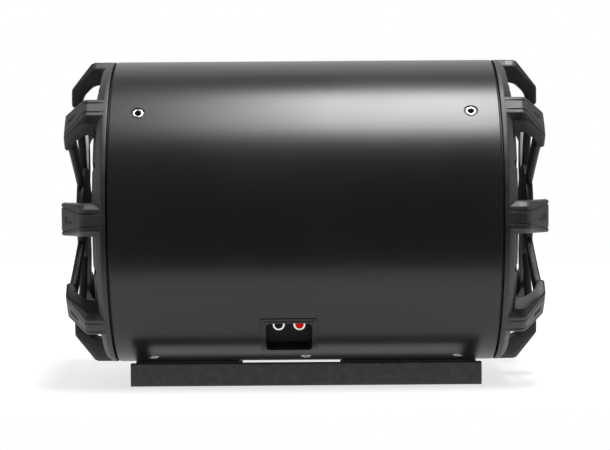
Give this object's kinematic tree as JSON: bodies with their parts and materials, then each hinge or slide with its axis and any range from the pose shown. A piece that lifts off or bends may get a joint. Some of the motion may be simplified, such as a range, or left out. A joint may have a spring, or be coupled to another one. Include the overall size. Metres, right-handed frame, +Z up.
{
  "type": "car subwoofer",
  "caption": "Round-tube car subwoofer with a driven cone at one end, a passive radiator at the other, eight-arm guards, push terminals and a steel cradle.",
  "frame": {"origin": "middle of the cradle's flat underside, under the middle of the tube", "axes": "+X along the tube from the woofer end to the passive radiator end, -Y the rear side with the terminals, +Z up"},
  "size_m": [0.463, 0.3004, 0.3169],
  "materials": {
    "tube_skin": "satin black skin over a pressed-paper tube",
    "guard_plastic": "moulded black glass-filled nylon, fine texture",
    "badge_plate": "grey satin disc, plain",
    "powder_coat": "fine-textured black powder coat on steel",
    "board": "bare fibreboard",
    "rubber": "matt",
    "cone_black": "satin injection-moulded cone",
    "spider_cloth": "resin-dipped woven cloth",
    "coil_copper": "enamelled copper wire on a former",
    "zinc": "zinc-plated steel",
    "ferrite": "ground ferrite",
    "nickel": "bright nickel plate",
    "marker_red": "moulded red",
    "marker_black": "moulded black"
  },
  "bodies": {
    "enclosure": {"black_post_spring": "zinc", "black_post_stem": "nickel", "black_wire": "marker_black", "cradle": "powder_coat", "cradle_screw_1": "zinc", "cradle_screw_2": "zinc", "cradle_screw_3": "zinc", "cradle_screw_4": "zinc", "left_saddle": "rubber", "lower_left_insert": "nickel", "lower_middle_insert": "nickel", "lower_right_insert": "nickel", "radiator_badge": "badge_plate", "radiator_baffle": "board", "radiator_frame": "powder_coat", "radiator_guard": "guard_plastic", "radiator_screw_1": "zinc", "radiator_screw_2": "zinc", "radiator_screw_3": "zinc", "radiator_screw_4": "zinc", "radiator_screw_5": "zinc", "radiator_screw_6": "zinc", "radiator_screw_7": "zinc", "radiator_screw_8": "zinc", "radiator_surround": "rubber", "red_post_spring": "zinc", "red_post_stem": "nickel", "red_wire": "marker_red", "right_saddle": "rubber", "terminal_cup": "guard_plastic", "tube": "tube_skin", "upper_left_insert": "nickel", "upper_right_insert": "nickel", "woofer_back_plate": "zinc", "woofer_badge": "badge_plate", "woofer_baffle": "board", "woofer_basket": "powder_coat", "woofer_guard": "guard_plastic", "woofer_magnet": "ferrite", "woofer_screw_1": "zinc", "woofer_screw_2": "zinc", "woofer_screw_3": "zinc", "woofer_screw_4": "zinc", "woofer_screw_5": "zinc", "woofer_screw_6": "zinc", "woofer_screw_7": "zinc", "woofer_screw_8": "zinc", "woofer_spider": "spider_cloth", "woofer_surround": "rubber", "woofer_terminal_strip": "powder_coat", "woofer_top_plate": "zinc"},
    "woofer_cone_assembly": {"woofer_cone": "cone_black", "woofer_dust_cap": "cone_black", "woofer_voice_coil": "coil_copper"},
    "radiator_assembly": {"radiator_diaphragm": "cone_black", "radiator_weight": "zinc"},
    "black_post_button": {"black_post_cap": "nickel", "black_post_centre": "marker_black"},
    "red_post_button": {"red_post_cap": "nickel", "red_post_centre": "marker_red"}
  },
  "joints": [
    {"name": "woofer_cone_slide", "type": "slide", "parent": "enclosure", "child": "woofer_cone_assembly", "axis": [-1, 0, 0], "range_m": [-0.008, 0.008], "stiffness_N_per_m": 2500, "deforming": ["woofer_surround", "woofer_spider"]},
    {"name": "radiator_slide", "type": "slide", "parent": "enclosure", "child": "radiator_assembly", "axis": [1, 0, 0], "range_m": [-0.01, 0.01], "stiffness_N_per_m": 1500, "deforming": ["radiator_surround"]},
    {"name": "black_post_press", "type": "slide", "parent": "enclosure", "child": "black_post_button", "axis": [0, 0.9537, 0.3007], "range_m": [0, 0.0035], "stiffness_N_per_m": 600, "deforming": ["black_post_spring"]},
    {"name": "red_post_press", "type": "slide", "parent": "enclosure", "child": "red_post_button", "axis": [0, 0.9537, 0.3007], "range_m": [0, 0.0035], "stiffness_N_per_m": 600, "deforming": ["red_post_spring"]}
  ]
}
